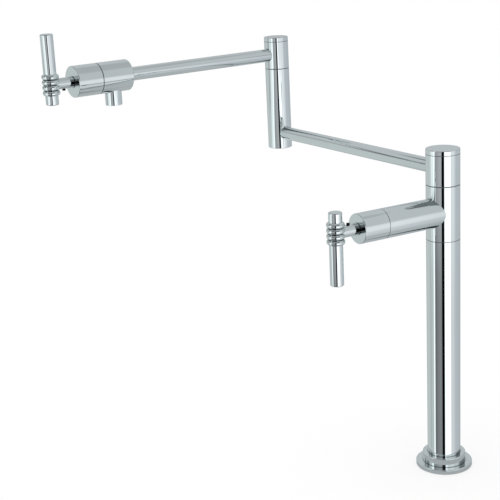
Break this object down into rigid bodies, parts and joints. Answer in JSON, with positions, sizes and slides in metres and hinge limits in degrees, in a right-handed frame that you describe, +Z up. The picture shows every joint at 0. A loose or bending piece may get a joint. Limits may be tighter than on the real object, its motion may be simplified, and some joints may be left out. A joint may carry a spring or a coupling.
{
  "type": "deck mount pot filler",
  "caption": "Deck mount pot filler: a round column on a deck plate, two swinging arms joined by an elbow post, and a quarter-turn lever valve on the column and over the spout.",
  "frame": {"origin": "centre of the inlet thread's mouth, in the plane of the deck, on the column's axis", "axes": "+Z up along the column; the deck valve's stub points to the front, along -Y; the first arm swings out to about -X and the second arm forward from the elbow, as in the picture"},
  "size_m": [0.3826, 0.3985, 0.5408],
  "materials": {
    "polished_chrome": "mirror-polished chrome plate",
    "bare_brass": "turned brass, unplated, inside only",
    "rubber": "matt black sealing rubber",
    "ceramic": "ground white ceramic",
    "washer_plastic": "dark low-friction plastic",
    "plain_steel": "plain stainless steel"
  },
  "bodies": {
    "stand": {"deck_gasket": "rubber", "deck_flange": "polished_chrome", "base_collar": "polished_chrome", "riser_tube": "polished_chrome", "base_socket": "bare_brass", "supply_tube": "bare_brass", "valve_body": "polished_chrome", "base_spindle": "bare_brass", "base_spindle_seals": "rubber", "base_thrust_washer": "washer_plastic", "base_circlip": "plain_steel", "deck_bonnet": "polished_chrome", "deck_cartridge_sleeve": "bare_brass", "deck_seat_seal": "rubber", "deck_fixed_disc": "ceramic"},
    "first_arm": {"base_swivel_hub": "polished_chrome", "base_hub_cap": "polished_chrome", "first_arm_tube": "polished_chrome", "elbow_post": "polished_chrome", "elbow_spindle": "bare_brass", "elbow_spindle_seals": "rubber", "elbow_thrust_washer": "washer_plastic", "elbow_circlip": "plain_steel"},
    "second_arm": {"elbow_swivel_hub": "polished_chrome", "elbow_hub_cap": "polished_chrome", "second_arm_tube": "polished_chrome", "spout_valve_body": "polished_chrome", "spout_tube": "polished_chrome", "aerator_housing": "bare_brass", "aerator_insert": "washer_plastic", "aerator_washer": "rubber", "spout_bonnet": "polished_chrome", "spout_cartridge_sleeve": "bare_brass", "spout_seat_seal": "rubber", "spout_fixed_disc": "ceramic"},
    "deck_handle": {"deck_turning_disc": "ceramic", "deck_stem": "bare_brass", "deck_stem_ring": "rubber", "deck_lever_neck": "polished_chrome", "deck_lever": "polished_chrome", "deck_set_screw": "plain_steel"},
    "spout_handle": {"spout_turning_disc": "ceramic", "spout_stem": "bare_brass", "spout_stem_ring": "rubber", "spout_lever_neck": "polished_chrome", "spout_lever": "polished_chrome", "spout_set_screw": "plain_steel"}
  },
  "joints": [
    {"name": "base_swivel", "type": "hinge", "parent": "stand", "child": "first_arm", "pos_m": [0, 0, 0.3739], "axis": [0, 0, 1], "continuous": true},
    {"name": "elbow_swivel", "type": "hinge", "parent": "first_arm", "child": "second_arm", "pos_m": [-0.33254, -0.01743, 0.48], "axis": [0, 0, 1], "continuous": true},
    {"name": "deck_valve_turn", "type": "hinge", "parent": "stand", "child": "deck_handle", "pos_m": [0, -0.0883, 0.3227], "axis": [0, -1, 0], "range_deg": [0, 90]},
    {"name": "spout_valve_turn", "type": "hinge", "parent": "second_arm", "child": "spout_handle", "pos_m": [-0.30858, -0.29138, 0.48], "axis": [0.0872, -0.9962, 0], "range_deg": [0, 90]}
  ]
}
